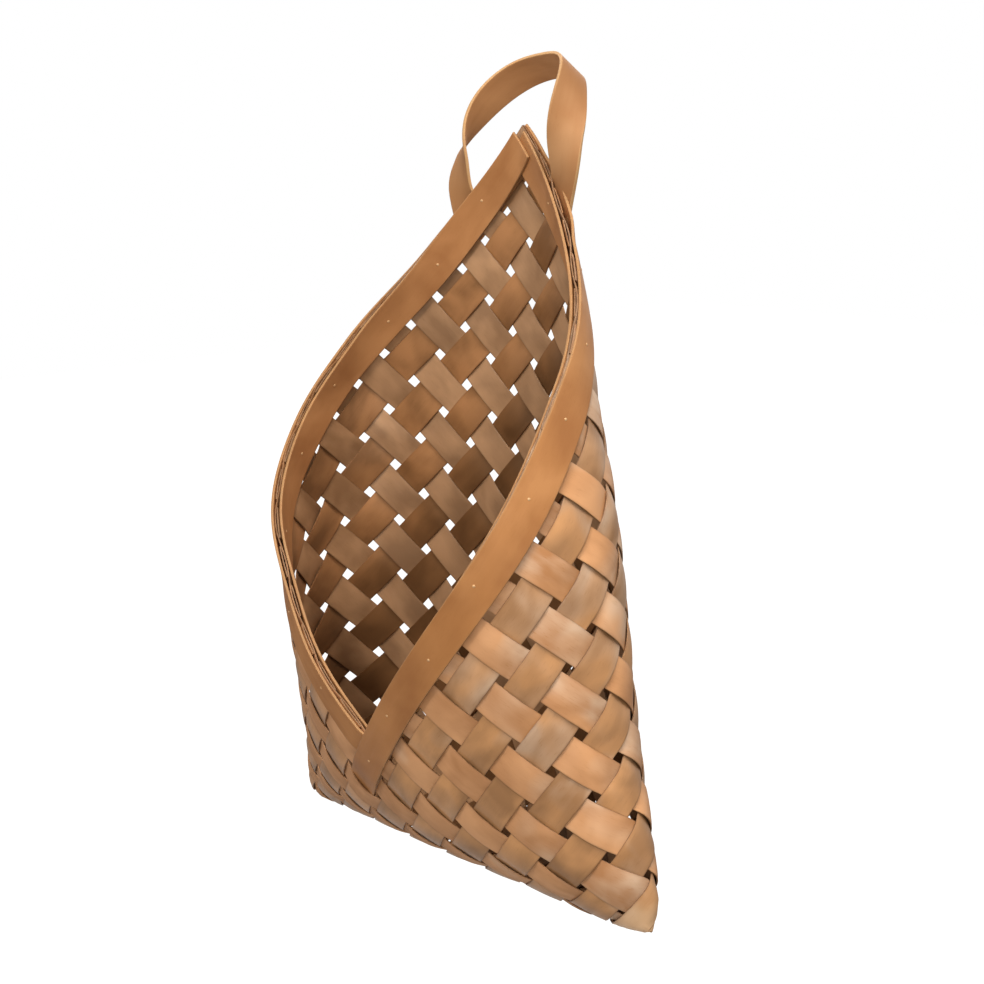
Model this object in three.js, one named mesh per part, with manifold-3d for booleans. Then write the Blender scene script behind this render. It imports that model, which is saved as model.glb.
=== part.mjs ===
// Hanging envelope basket: eighteen plaited wood splints, four rim bands and a bent strap handle.
// Millimetres, +Z up, front of the basket towards -Y. The origin is the hang seat under the handle top.
import * as THREE from 'three';
import Module from 'manifold-3d';

// Weave: pitch of the splints, their width and thickness, and the clearance kept between touching pieces.
const PITCH = 25;
const SPLINT_WIDTH = 19;
const SPLINT_THICK = 1.0;
const CLEARANCE = 0.3;

// Lattice counts: splint ends per rim, and the lattice sum k + r on the bottom fold.
const RIM_COUNT = 18;
const FOLD_SUM = 23;
const BAG_CORNERS = [[7, 16], [16, 7]];
const CORNER_EYE = 13;

// Body shape: section half depths, how fast the bag opens above the fold, and how the loops dip.
const BACK_DEPTH = 54;
const BACK_FLARE = 0.025;
const FRONT_DEPTH = 33.5;
const FRONT_FLARE = 0.3;
const LIP_FLARE = 0.0007;
const LIP_START = 166;
const OPENING_RISE = 53;
const CORNER_FULL = 0.58;
const CORNER_FULL_RISE = 53;
const KEEL_LOSS = 12;
const KEEL_RISE = 42.5;
const FRONT_DIP = 16.5;
const CORNER_SAG = 8.75;
const CORNER_LIFT = 8;
const CORNER_SWELL = 6.5;
const TIP_LEAN = 9.25;
const LEAN_START = 225;
const LEAN_SPAN = 217;

// Rim bands.
const BAND_WIDTH = 20;
const BAND_THICK = 1.6;
const BAND_CLEARANCE = 0.5;
const PEAK_BUTT = -0.06;
const CROSSING_BUTT = 17.04;
const OUTER_TAIL = 19.06;
const INNER_END = 17.9;
const BAND_END = -0.9;
const BUMP_ABOVE = 1.7;
const BUMP_BELOW = 1.55;

// Strap handle: leg places down each rim, then the free arch, which tilts back at its top.
const STRAP_WIDTH = 21.5;
const STRAP_THICK = 2;
const LEG_LEFT = 2.37;
const LEG_RIGHT = 1.79;
const LEG_ROWS = [[-11, 1], [11, 1], [18, 0.6]];
const LEG_LIFT = 26;
const ARCH_RISE = 65;
const ARCH_OUT_POWER = 0.71;
const ARCH_UP_POWER = 0.7;
const ARCH_BACK = 30.5;
const ARCH_BACK_POWER = 2.65;
const ARCH_STEPS = 28;
const APEX_TILT = 37;
const APEX_FLAT = 12;
const TWIST_START = 0.12;
const TWIST_POWER = 2.74;

// Derived lattice and layer sizes.
const ROOT2 = Math.SQRT2;
const HALF_LOOP = RIM_COUNT * PITCH / ROOT2;
const HALF_CELL = SPLINT_WIDTH / PITCH / 2;
const LAYER = (SPLINT_THICK + CLEARANCE) / 2;
const WEAVE_HALF = LAYER + SPLINT_THICK / 2;
const BAND_OFFSET = WEAVE_HALF + BAND_CLEARANCE + BAND_THICK / 2;
const STRAP_OFFSET = WEAVE_HALF + BAND_CLEARANCE + STRAP_THICK / 2;
const BAND_BUMP = STRAP_THICK + 1.5 * BAND_CLEARANCE;

const SECTION_STEPS = 360;
const SOLVE_STEPS = 90;
const sectionCache = new Map();

// Point of an egg-shaped section at angle phi from the back centre.
function sectionPoint(half, shape, phi) {
  const sin = Math.sin(phi);
  const depth = phi < Math.PI / 2 ? shape.back : shape.front;
  return [half * sin, depth * Math.cos(phi) * (1 + shape.full * sin * sin)];
}

// Running length along half a section, from the back centre to the front centre.
function sectionArc(half, shape, steps) {
  const arc = [0];
  let [px, py] = sectionPoint(half, shape, 0);
  for (let i = 1; i <= steps; i += 1) {
    const [x, y] = sectionPoint(half, shape, Math.PI * i / steps);
    arc.push(arc[i - 1] + Math.hypot(x - px, y - py));
    px = x;
    py = y;
  }
  return arc;
}

// Section at surface height t: half width, depths, and arc length against the section angle.
function sectionAt(t) {
  const key = t.toFixed(5);
  if (sectionCache.has(key)) {
    return sectionCache.get(key);
  }
  const open = Math.tanh(t / OPENING_RISE);
  const lip = LIP_FLARE * Math.max(0, t - LIP_START) ** 2;
  const shape = {
    back: Math.max(BACK_DEPTH * open + BACK_FLARE * t, 1e-3),
    front: Math.max(FRONT_DEPTH * open + FRONT_FLARE * t + lip, 1e-3),
    full: CORNER_FULL * Math.exp(-t / CORNER_FULL_RISE),
  };
  let low = 5;
  let high = HALF_LOOP;
  for (let i = 0; i < 40; i += 1) {
    const mid = (low + high) / 2;
    if (sectionArc(mid, shape, SOLVE_STEPS)[SOLVE_STEPS] > HALF_LOOP) {
      high = mid;
    } else {
      low = mid;
    }
  }
  const half = (low + high) / 2;
  const arc = sectionArc(half, shape, SECTION_STEPS);
  const scale = HALF_LOOP / arc[SECTION_STEPS];
  const result = { ...shape, open, half, arc: arc.map((v) => v * scale) };
  sectionCache.set(key, result);
  return result;
}

// Smooth step from 0 at start to 1 at end.
function ease(value, start, end) {
  const part = Math.min(Math.max((value - start) / (end - start), 0), 1);
  return part * part * (3 - 2 * part);
}

// Section angle that lies a given arc length from the back centre.
function angleAt(section, length) {
  let lo = 0;
  let hi = SECTION_STEPS;
  while (hi - lo > 1) {
    const mid = (lo + hi) >> 1;
    if (section.arc[mid] <= length) {
      lo = mid;
    } else {
      hi = mid;
    }
  }
  const span = section.arc[hi] - section.arc[lo];
  const part = span > 0 ? (length - section.arc[lo]) / span : 0;
  return Math.PI * (lo + Math.min(Math.max(part, 0), 1)) / SECTION_STEPS;
}

// Point of the bag surface at distance s round from the back centre and t above the fold.
function bagPoint(s, t) {
  let side = s;
  let up = t;
  if (up < 0) {
    up = -up;
    side = HALF_LOOP - side;
  }
  while (side > HALF_LOOP) {
    side -= 2 * HALF_LOOP;
  }
  while (side < -HALF_LOOP) {
    side += 2 * HALF_LOOP;
  }
  const section = sectionAt(up);
  const phi = angleAt(section, Math.abs(side));
  const sin = Math.sin(phi);
  const cos = Math.cos(phi);
  const [x, y] = sectionPoint(section.half, section, phi);
  const lean = TIP_LEAN * Math.max(0, (up - LEAN_START) / LEAN_SPAN) ** 2;
  const keel = KEEL_LOSS * Math.tanh(up / KEEL_RISE) * cos * cos;
  const dip = FRONT_DIP * section.open * ((1 - cos) / 2) ** 3;
  const swell = CORNER_SWELL * ease(up, 2, 34) * (1 - ease(up, 60, 170)) * sin ** 8;
  const lift = CORNER_LIFT * (1 - ease(up, 35, 125)) * sin ** 14;
  return new THREE.Vector3(
    Math.sign(side || 1) * (x + swell),
    y - lean,
    up - keel - CORNER_SAG * sin * sin - dip + lift,
  );
}

// Point of the bag surface at lattice place (k, r): k counts down the left rim, r down the right rim.
function latticePoint(k, r) {
  return bagPoint((r - k) * PITCH / ROOT2, (FOLD_SUM - k - r) * PITCH / ROOT2);
}

// Outward normal of the bag at a lattice place.
function latticeNormal(k, r) {
  const e = 0.06;
  const alongK = latticePoint(k + e, r).sub(latticePoint(k - e, r));
  const alongR = latticePoint(k, r + e).sub(latticePoint(k, r - e));
  return alongR.cross(alongK).normalize();
}

// Lattice place moved off the surface by a signed distance, outside positive.
function offsetPoint(k, r, offset) {
  return latticePoint(k, r).addScaledVector(latticeNormal(k, r), offset);
}

// Leg tops under the outer bands, left and right.
const legTops = [offsetPoint(LEG_LEFT, -0.5, STRAP_OFFSET), offsetPoint(-0.5, LEG_RIGHT, STRAP_OFFSET)];

// Centre of the arch between them, u from -1 at the left leg to 1 at the right leg.
function archPoint(u) {
  const turn = Math.min(Math.abs(u), 1) * Math.PI / 2;
  const out = Math.sign(u) * Math.sin(turn) ** ARCH_OUT_POWER;
  const up = Math.max(Math.cos(turn), 0) ** ARCH_UP_POWER;
  const point = legTops[0].clone().lerp(legTops[1], (1 + out) / 2);
  point.y += ARCH_BACK * up ** ARCH_BACK_POWER;
  point.z += LEG_LIFT + ARCH_RISE * up;
  return point;
}

// Hang seat: the middle of the strap's underside at the top of the arch, which becomes the origin.
const TILT = APEX_TILT * Math.PI / 180;
const apexNormal = new THREE.Vector3(0, Math.sin(TILT), Math.cos(TILT));
const apexWide = new THREE.Vector3(0, -Math.cos(TILT), Math.sin(TILT));
const seat = archPoint(0).addScaledVector(apexNormal, -STRAP_THICK / 2);

// Closed solid from a run of four-cornered sections; diag picks the split of each wide face.
function sweep(name, sections, diag) {
  const positions = [];
  const faces = [];
  const count = sections.length;
  sections.flat().forEach((corner) => {
    positions.push(corner.x - seat.x, corner.y - seat.y, corner.z - seat.z);
  });
  const quad = (a, b, c, d, flip) => {
    if (flip) {
      faces.push(a, b, d, b, c, d);
    } else {
      faces.push(a, b, c, a, c, d);
    }
  };
  for (let i = 0; i < count - 1; i += 1) {
    const m = 4 * i;
    const n = m + 4;
    const flip = diag(i);
    quad(m, m + 1, n + 1, n, flip);
    quad(m + 1, m + 2, n + 2, n + 1, false);
    quad(m + 3, n + 3, n + 2, m + 2, flip);
    quad(m + 3, m, n, n + 3, false);
  }
  const last = 4 * (count - 1);
  quad(3, 2, 1, 0, false);
  quad(last, last + 1, last + 2, last + 3, false);
  let volume = 0;
  const at = (i) => new THREE.Vector3().fromArray(positions, 3 * i);
  for (let i = 0; i < faces.length; i += 3) {
    volume += at(faces[i]).dot(at(faces[i + 1]).cross(at(faces[i + 2])));
  }
  if (volume < 0) {
    for (let i = 0; i < faces.length; i += 3) {
      [faces[i + 1], faces[i + 2]] = [faces[i + 2], faces[i + 1]];
    }
  }
  const geometry = new THREE.BufferGeometry();
  geometry.setAttribute('position', new THREE.Float32BufferAttribute(positions, 3));
  geometry.setIndex(faces);
  const mesh = new THREE.Mesh(geometry);
  mesh.name = name;
  return mesh;
}

// Four corners of a band section across the lattice line: low edge and high edge, inner and outer face.
function bandCorners(place, half, offset, thick) {
  const low = place(-half);
  const high = place(half);
  return [
    offsetPoint(low[0], low[1], offset + thick / 2),
    offsetPoint(high[0], high[1], offset + thick / 2),
    offsetPoint(high[0], high[1], offset - thick / 2),
    offsetPoint(low[0], low[1], offset - thick / 2),
  ];
}

// One splint: parallel to the right rim (fixed k) or to the left rim (fixed r), over one and under one.
function splint(name, fixedK, centre, cells) {
  const line = Math.floor(centre);
  const sections = [];
  const cellOf = [];
  for (let cell = -1; cell < cells - 1; cell += 1) {
    const odd = Math.abs(line + cell) % 2 === 1;
    const offset = odd === fixedK ? LAYER : -LAYER;
    [0.5 - HALF_CELL, 0.5 + HALF_CELL].forEach((step) => {
      const along = cell + step;
      const place = (d) => (fixedK ? [centre + d, along] : [along, centre + d]);
      sections.push(bandCorners(place, HALF_CELL, offset, SPLINT_THICK));
      cellOf.push(cell);
    });
  }
  const onFold = (i) => cellOf[i] === cellOf[i + 1] && line + cellOf[i] === FOLD_SUM - 1;
  return sweep(name, sections, onFold);
}

// One rim band along the left rim (r = -0.5) or the right rim (k = -0.5).
function rimBand(name, leftRim, outer, start, end) {
  const stops = [start];
  for (let cell = -1; cell <= 19; cell += 1) {
    [0.5 - HALF_CELL, 0.5 + HALF_CELL].forEach((step) => {
      const stop = cell + step;
      if (stop > start + 0.05 && stop < end - 0.05) {
        stops.push(stop);
      }
    });
  }
  stops.push(end);
  const sections = stops.map((stop) => {
    const leg = leftRim ? LEG_LEFT : LEG_RIGHT;
    const overLeg = outer && stop > leg - BUMP_ABOVE && stop < leg + BUMP_BELOW;
    const offset = outer ? BAND_OFFSET + (overLeg ? BAND_BUMP : 0) : -BAND_OFFSET;
    const place = (d) => (leftRim ? [stop, -0.5 + d] : [-0.5 + d, stop]);
    return bandCorners(place, BAND_WIDTH / PITCH / 2, offset, BAND_THICK);
  });
  return sweep(name, sections, () => false);
}

// Corners of a strap section from its centre, width direction and outer normal.
function strapCorners(centre, width, normal) {
  const w = width.clone().multiplyScalar(STRAP_WIDTH / 2);
  const n = normal.clone().multiplyScalar(STRAP_THICK / 2);
  return [
    centre.clone().sub(w).add(n),
    centre.clone().add(w).add(n),
    centre.clone().add(w).sub(n),
    centre.clone().sub(w).sub(n),
  ];
}

// Strap handle: a slanted leg end under each outer band, a quarter twist, and a free arch between.
function strapHandle() {
  const leg = (side) => LEG_ROWS.map(([rise, slant]) => {
    const place = side < 0 ? LEG_LEFT : LEG_RIGHT;
    const edge = (inward, offset) => {
      const round = (place + 0.5) * PITCH / ROOT2 - inward;
      const up = (FOLD_SUM - place + 0.5) * PITCH / ROOT2 + rise + inward * slant;
      const down = (FOLD_SUM - (up - round) * ROOT2 / PITCH) / 2;
      const across = (FOLD_SUM - (up + round) * ROOT2 / PITCH) / 2;
      return side < 0 ? offsetPoint(down, across, offset) : offsetPoint(across, down, offset);
    };
    const half = STRAP_WIDTH / 2;
    const front = STRAP_OFFSET - STRAP_THICK / 2;
    const rear = STRAP_OFFSET + STRAP_THICK / 2;
    return [edge(half, front), edge(-half, front), edge(-half, rear), edge(half, rear)];
  });
  const sections = [...leg(-1)];
  const apex = archPoint(0);
  for (let i = 0; i <= ARCH_STEPS; i += 1) {
    const u = -1 + 2 * i / ARCH_STEPS;
    const free = archPoint(u);
    const flat = Math.abs(free.x - apex.x) < APEX_FLAT;
    const centre = flat ? new THREE.Vector3(free.x, apex.y, apex.z) : free;
    const turned = Math.max(0, (Math.abs(u) - TWIST_START) / (1 - TWIST_START));
    const twist = turned ** TWIST_POWER * Math.PI / 2;
    const tangent = archPoint(u + 0.02).sub(archPoint(u - 0.02)).normalize();
    const wide = apexWide.clone().multiplyScalar(Math.cos(twist));
    wide.x -= Math.sign(u) * Math.sin(twist);
    if (flat) {
      tangent.set(1, 0, 0);
      wide.copy(apexWide);
    }
    wide.addScaledVector(tangent, -wide.dot(tangent)).normalize();
    const normal = wide.clone().cross(tangent).normalize();
    sections.push(strapCorners(centre, wide.clone().negate(), normal));
  }
  sections.push(...leg(1).reverse());
  return sweep('handle_strap', sections, () => false);
}

const solids = await Module();
solids.setup();

// Cut a small block at a bottom corner out of a splint, so the splints that turn there keep an open eye.
function cutEye(mesh, corner) {
  const tip = latticePoint(corner[0], corner[1]).sub(seat);
  const body = new solids.Manifold(new solids.Mesh({
    numProp: 3,
    vertProperties: new Float32Array(mesh.geometry.attributes.position.array),
    triVerts: new Uint32Array(mesh.geometry.index.array),
  }));
  const cube = solids.Manifold.cube([CORNER_EYE, CORNER_EYE, CORNER_EYE], true);
  const block = cube.translate([tip.x, tip.y, tip.z]);
  const cut = body.subtract(block).getMesh();
  const geometry = new THREE.BufferGeometry();
  geometry.setAttribute('position', new THREE.Float32BufferAttribute(cut.vertProperties, 3));
  geometry.setIndex([...cut.triVerts]);
  mesh.geometry = geometry;
}

const basket = new THREE.Group();
basket.name = 'hanging_envelope_basket';

// Splints: eight long and one short in each direction.
for (let i = 0; i < RIM_COUNT / 2; i += 1) {
  const centre = 7.5 + i;
  const cells = i < RIM_COUNT / 2 - 1 ? 34 : 16;
  const label = String(i + 1).padStart(2, '0');
  basket.add(splint(`splint_right_${label}`, true, centre, cells));
  basket.add(splint(`splint_left_${label}`, false, centre, cells));
}
const turningPairs = [['splint_right_01', 'splint_left_09'], ['splint_left_01', 'splint_right_09']];
turningPairs.forEach((pair, i) => {
  pair.forEach((name) => cutEye(basket.getObjectByName(name), BAG_CORNERS[i]));
});

// Rim bands: outside, the right band runs over the left one; inside, the left one lies on top at the peak.
basket.add(rimBand('rim_right_outer', false, true, BAND_END, OUTER_TAIL));
basket.add(rimBand('rim_left_outer', true, true, PEAK_BUTT, CROSSING_BUTT));
basket.add(rimBand('rim_left_inner', true, false, BAND_END, CROSSING_BUTT));
basket.add(rimBand('rim_right_inner', false, false, PEAK_BUTT, INNER_END));

basket.add(strapHandle());

export default basket;
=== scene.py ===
"""Hanging envelope basket: plaited wood splints, tacked rim bands and a bent strap handle.

Sizes are in millimetres in the classes below and become metres where a mesh is made.
The bag is described on a lattice: k counts splints down the left rim, r down the right rim.
"""

from __future__ import annotations

import logging
import math
from dataclasses import dataclass, field
from enum import Enum
from functools import cached_property

import bpy
import numpy as np
from mathutils import Matrix, Vector

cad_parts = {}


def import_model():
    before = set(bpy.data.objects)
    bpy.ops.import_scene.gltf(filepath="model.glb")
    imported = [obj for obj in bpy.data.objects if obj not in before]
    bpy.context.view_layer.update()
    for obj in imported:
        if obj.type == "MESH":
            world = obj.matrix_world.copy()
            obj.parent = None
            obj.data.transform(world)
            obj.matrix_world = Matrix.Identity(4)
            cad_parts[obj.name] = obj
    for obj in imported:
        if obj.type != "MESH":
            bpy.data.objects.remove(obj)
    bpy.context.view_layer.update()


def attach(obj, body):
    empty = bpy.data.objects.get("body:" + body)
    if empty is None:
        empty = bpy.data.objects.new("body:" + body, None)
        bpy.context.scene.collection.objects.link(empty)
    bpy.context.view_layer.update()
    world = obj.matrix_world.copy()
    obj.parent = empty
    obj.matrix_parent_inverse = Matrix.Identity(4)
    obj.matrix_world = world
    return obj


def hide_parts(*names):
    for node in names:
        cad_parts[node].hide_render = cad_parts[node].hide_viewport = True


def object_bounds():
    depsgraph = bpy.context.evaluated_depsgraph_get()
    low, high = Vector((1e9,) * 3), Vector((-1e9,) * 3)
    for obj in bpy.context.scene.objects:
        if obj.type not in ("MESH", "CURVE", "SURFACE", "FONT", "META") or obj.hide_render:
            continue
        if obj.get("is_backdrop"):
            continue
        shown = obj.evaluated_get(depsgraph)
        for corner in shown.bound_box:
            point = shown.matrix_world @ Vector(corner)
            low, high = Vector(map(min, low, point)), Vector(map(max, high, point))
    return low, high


LOG = logging.getLogger("envelope_basket")
MM = 0.001
ROOT2 = math.sqrt(2.0)
BODY = "root"
MERGE_GAP = 2e-6

Colour = tuple[float, float, float]


def srgb(red: int, green: int, blue: int) -> Colour:
    """Turn an 8-bit display colour into linear values.

    Args:
        red: Red, 0 to 255.
        green: Green, 0 to 255.
        blue: Blue, 0 to 255.

    Returns:
        The linear colour.
    """
    def linear(value: int) -> float:
        """Linear value of one channel."""
        part = value / 255.0
        return part / 12.92 if part <= 0.04045 else ((part + 0.055) / 1.055) ** 2.4

    return linear(red), linear(green), linear(blue)


def ease(value: np.ndarray, start: float, end: float) -> np.ndarray:
    """Smooth step from 0 at start to 1 at end.

    Args:
        value: Where the step is read.
        start: Where it leaves 0.
        end: Where it reaches 1.

    Returns:
        The step, between 0 and 1.
    """
    part = np.clip((np.asarray(value, float) - start) / (end - start), 0.0, 1.0)
    return part * part * (3.0 - 2.0 * part)


class Rim(Enum):
    """The two slanted rims of the mouth."""

    LEFT = "left"
    RIGHT = "right"


class Face(Enum):
    """Which face of the woven wall a band lies on."""

    OUTER = 1
    INNER = -1


@dataclass(frozen=True)
class Pull:
    """Uneven spot of the plaiting: one side of the wall drawn in about one height."""

    side: int
    height: float
    spread: float
    inward: float
    backward: float = 0.0
    at_lip: bool = False

    def share(self, side: np.ndarray, up: np.ndarray, phi: np.ndarray) -> np.ndarray:
        """How much of the pull reaches each point.

        Args:
            side: Signed distance round from the back centre.
            up: Height above the fold along the wall.
            phi: Section angle from the back centre.

        Returns:
            Shares between 0 and 1.
        """
        around = ((1.0 - np.cos(phi)) / 2) ** 3 if self.at_lip else np.sin(phi)
        return (side * self.side > 0) * around * np.exp(-(((up - self.height) / self.spread) ** 2))


@dataclass(frozen=True)
class BagForm:
    """Curved wall of the bag as a surface over the splint lattice."""

    pitch: float = 25.0
    rim_count: int = 18
    fold_sum: float = 23.0
    back_depth: float = 54.0
    back_flare: float = 0.025
    front_depth: float = 33.5
    front_flare: float = 0.3
    lip_flare: float = 0.0007
    lip_start: float = 166.0
    opening_rise: float = 53.0
    corner_full: float = 0.58
    corner_full_rise: float = 53.0
    keel_loss: float = 12.0
    keel_rise: float = 42.5
    front_dip: float = 16.5
    corner_sag: float = 8.75
    corner_swell: float = 5.0
    corner_lift: float = 8.0
    left_settle: float = 5.0
    fold_lift: float = 2.0
    tip_lean: float = 9.25
    lean_start: float = 225.0
    lean_span: float = 217.0
    highest: float = 480.0
    section_steps: int = 360
    fold_round: float = 0.36
    fold_fade: float = 40.0
    corners: tuple[tuple[float, float], ...] = ((7.0, 16.0), (16.0, 7.0))
    corner_blend: float = 0.45
    corner_slope: float = 0.9
    corner_turn: float = 2.5
    swell_fade: tuple[float, float] = (60.0, 170.0)
    swell_power: int = 8
    lift_fade: tuple[float, float] = (35.0, 125.0)
    lift_power: int = 14
    fold_lift_fade: tuple[float, float] = (0.0, 60.0)
    height_steps: int = 960
    narrowest: float = 5.0
    half_rounds: int = 36
    chunk: int = 4000
    probe: float = 0.06
    pulls: tuple[Pull, ...] = (
        Pull(side=-1, height=352.0, spread=28.0, inward=4.5),
        Pull(side=-1, height=277.0, spread=24.0, inward=-2.8),
        Pull(side=-1, height=196.0, spread=30.0, inward=3.8, backward=5.0, at_lip=True),
        Pull(side=1, height=285.0, spread=45.0, inward=3.8),
        Pull(side=1, height=48.0, spread=26.0, inward=-2.4),
        Pull(side=1, height=0.0, spread=18.0, inward=1.8),
    )

    @property
    def step(self) -> float:
        """Distance along a loop for one lattice count."""
        return self.pitch / ROOT2

    @property
    def half_loop(self) -> float:
        """Half the length round the bag."""
        return self.rim_count * self.step

    def _depths(self, up: np.ndarray) -> tuple[np.ndarray, ...]:
        """Work out the section's measures at each height.

        Args:
            up: Height above the fold along the wall.

        Returns:
            Back depth, front depth and corner fullness.
        """
        opened = np.tanh(up / self.opening_rise)
        lip = self.lip_flare * np.maximum(0.0, up - self.lip_start) ** 2
        back = np.maximum(self.back_depth * opened + self.back_flare * up, 1e-3)
        front = np.maximum(self.front_depth * opened + self.front_flare * up + lip, 1e-3)
        return back, front, self.corner_full * np.exp(-up / self.corner_full_rise)

    def _outline(self, half: np.ndarray, up: np.ndarray) -> tuple[np.ndarray, np.ndarray, np.ndarray]:
        """Draw half sections from the back centre to the front centre.

        Args:
            half: Half width of each section.
            up: Height of each section above the fold.

        Returns:
            Places across, places in depth and running lengths, a row for each section.
        """
        back, front, full = self._depths(up)
        turn = np.linspace(0.0, math.pi, self.section_steps + 1)
        deep = np.where(turn[None, :] < math.pi / 2, back[:, None], front[:, None])
        x = half[:, None] * np.sin(turn)
        y = deep * np.cos(turn) * (1.0 + full[:, None] * np.sin(turn) ** 2)
        arc = np.zeros_like(x)
        arc[:, 1:] = np.cumsum(np.hypot(np.diff(x, axis=1), np.diff(y, axis=1)), axis=1)
        return x, y, arc

    @cached_property
    def _halves(self) -> tuple[np.ndarray, np.ndarray]:
        """Half width of the bag over a run of heights, so that every loop has one length.

        Returns:
            Heights and half widths.
        """
        up = np.linspace(0.0, self.highest, self.height_steps + 1)
        low = np.full_like(up, self.narrowest)
        high = np.full_like(up, self.half_loop)
        for _ in range(self.half_rounds):
            middle = (low + high) / 2
            over = self._outline(middle, up)[2][:, -1] > self.half_loop
            high = np.where(over, middle, high)
            low = np.where(over, low, middle)
        return up, (low + high) / 2

    def _sections(self, up: np.ndarray, length: np.ndarray) -> tuple[np.ndarray, ...]:
        """Find the egg-shaped section through each point.

        Args:
            up: Height above the fold along the wall.
            length: Distance round from the back centre.

        Returns:
            Place across, place in depth and section angle.
        """
        half = np.interp(up, *self._halves)
        x, y, arc = self._outline(half, up)
        arc *= self.half_loop / arc[:, -1:]
        index = np.clip((arc <= length[:, None]).sum(axis=1) - 1, 0, self.section_steps - 1)
        rows = np.arange(len(up))
        span = np.maximum(arc[rows, index + 1] - arc[rows, index], 1e-9)
        part = np.clip((length - arc[rows, index]) / span, 0.0, 1.0)
        phi = math.pi * (index + part) / self.section_steps
        across = x[rows, index] * (1 - part) + x[rows, index + 1] * part
        deep = y[rows, index] * (1 - part) + y[rows, index + 1] * part
        return across, deep, phi

    def _place(self, side: np.ndarray, up: np.ndarray) -> np.ndarray:
        """Place points of the wall from their distances round and up.

        Args:
            side: Signed distance round from the back centre.
            up: Height above the fold along the wall.

        Returns:
            Points in millimetres, fold centre at the origin.
        """
        across, deep, phi = self._sections(up, np.abs(side))
        sin = np.sin(phi)
        cos = np.cos(phi)
        left = side < 0
        lean = self.tip_lean * np.maximum(0.0, (up - self.lean_start) / self.lean_span) ** 2
        keel = self.keel_loss * np.tanh(up / self.keel_rise) * cos * cos
        dip = self.front_dip * np.tanh(up / self.opening_rise) * ((1 - cos) / 2) ** 3
        swell = (1.0 - ease(up, *self.swell_fade)) * sin ** self.swell_power
        fold = self.fold_lift * (1.0 - ease(up, *self.fold_lift_fade))
        lift = self.corner_lift - self.left_settle * left
        lift = lift * (1.0 - ease(up, *self.lift_fade)) * sin ** self.lift_power
        for pull in self.pulls:
            share = pull.share(side, up, phi)
            across = across - pull.inward * share
            deep = deep + pull.backward * share
        x = np.where(left, -1.0, 1.0) * (across + self.corner_swell * swell)
        z = up - keel - self.corner_sag * sin * sin - dip + lift + fold
        return np.stack([x, deep - lean, z], axis=-1)

    def sharp(self, k: np.ndarray, r: np.ndarray) -> np.ndarray:
        """Points of the wall with the fold left as a sharp crease.

        Args:
            k: Lattice places down the left rim.
            r: Lattice places down the right rim.

        Returns:
            Points in millimetres, fold centre at the origin.
        """
        shape = np.broadcast(k, r).shape
        k = np.broadcast_to(k, shape).astype(float).ravel()
        r = np.broadcast_to(r, shape).astype(float).ravel()
        side = (r - k) * self.step
        up = (self.fold_sum - k - r) * self.step
        side = np.where(up < 0, self.half_loop - side, side)
        up = np.abs(up)
        side = (side + self.half_loop) % (2 * self.half_loop) - self.half_loop
        points = np.empty((len(up), 3))
        for first in range(0, len(up), self.chunk):
            part = slice(first, first + self.chunk)
            points[part] = self._place(side[part], up[part])
        return points.reshape(shape + (3,))

    def wall(self, k: np.ndarray, r: np.ndarray) -> np.ndarray:
        """Points of the wall with the bottom fold rounded.

        Args:
            k: Lattice places down the left rim.
            r: Lattice places down the right rim.

        Returns:
            Points in millimetres, fold centre at the origin.
        """
        k, r = np.broadcast_arrays(np.asarray(k, float), np.asarray(r, float))
        points = self.sharp(k, r)
        height = np.abs(self.fold_sum - k - r) * self.step
        reach = self.fold_round * (1.0 - ease(height, 0.0, self.fold_fade))
        near = reach > 1e-4
        if near.any():
            total = np.zeros((int(near.sum()), 3))
            taps = ((-1.0, 0.25), (0.0, 0.5), (1.0, 0.25))
            for down, weight in taps:
                for over, share in taps:
                    moved = self.sharp(k[near] + down * reach[near], r[near] + over * reach[near])
                    total += weight * share * moved
            points[near] = total
        return points

    def outward(self, k: np.ndarray, r: np.ndarray) -> np.ndarray:
        """Outward unit directions of the wall.

        Args:
            k: Lattice places down the left rim.
            r: Lattice places down the right rim.

        Returns:
            Unit vectors.
        """
        k, r = np.broadcast_arrays(np.asarray(k, float), np.asarray(r, float))
        along_k = self.wall(k + self.probe, r) - self.wall(k - self.probe, r)
        along_r = self.wall(k, r + self.probe) - self.wall(k, r - self.probe)
        normal = np.cross(along_r, along_k)
        normal /= np.maximum(np.linalg.norm(normal, axis=-1, keepdims=True), 1e-9)
        side = np.sign(self.wall(k, r)[..., :1])
        down = 0.0 * side - self.corner_slope
        tip = np.concatenate([side, 0.0 * side, down], axis=-1) / math.hypot(1.0, self.corner_slope)
        near = np.exp(-((self.corner_gap(k, r) / self.corner_blend) ** 2))
        weight = self.corner_turn * near[..., None]
        mixed = normal + weight * tip
        return mixed / np.linalg.norm(mixed, axis=-1, keepdims=True)

    def crease_gap(self, k: np.ndarray, r: np.ndarray) -> np.ndarray:
        """Lattice distance to the nearest side crease, which runs up from a bottom corner."""
        return np.abs((r - k) % self.rim_count - self.rim_count / 2)

    def corner_gap(self, k: np.ndarray, r: np.ndarray) -> np.ndarray:
        """Lattice distance to the nearest bottom corner.

        Args:
            k: Lattice places down the left rim.
            r: Lattice places down the right rim.

        Returns:
            Distances in lattice counts.
        """
        gaps = []
        for turn in (-1, 0, 1):
            for corner in self.corners:
                shift = self.rim_count * turn
                gaps.append(np.hypot(k - corner[0] - shift, r - corner[1] + shift))
        return np.minimum.reduce(gaps)


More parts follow.
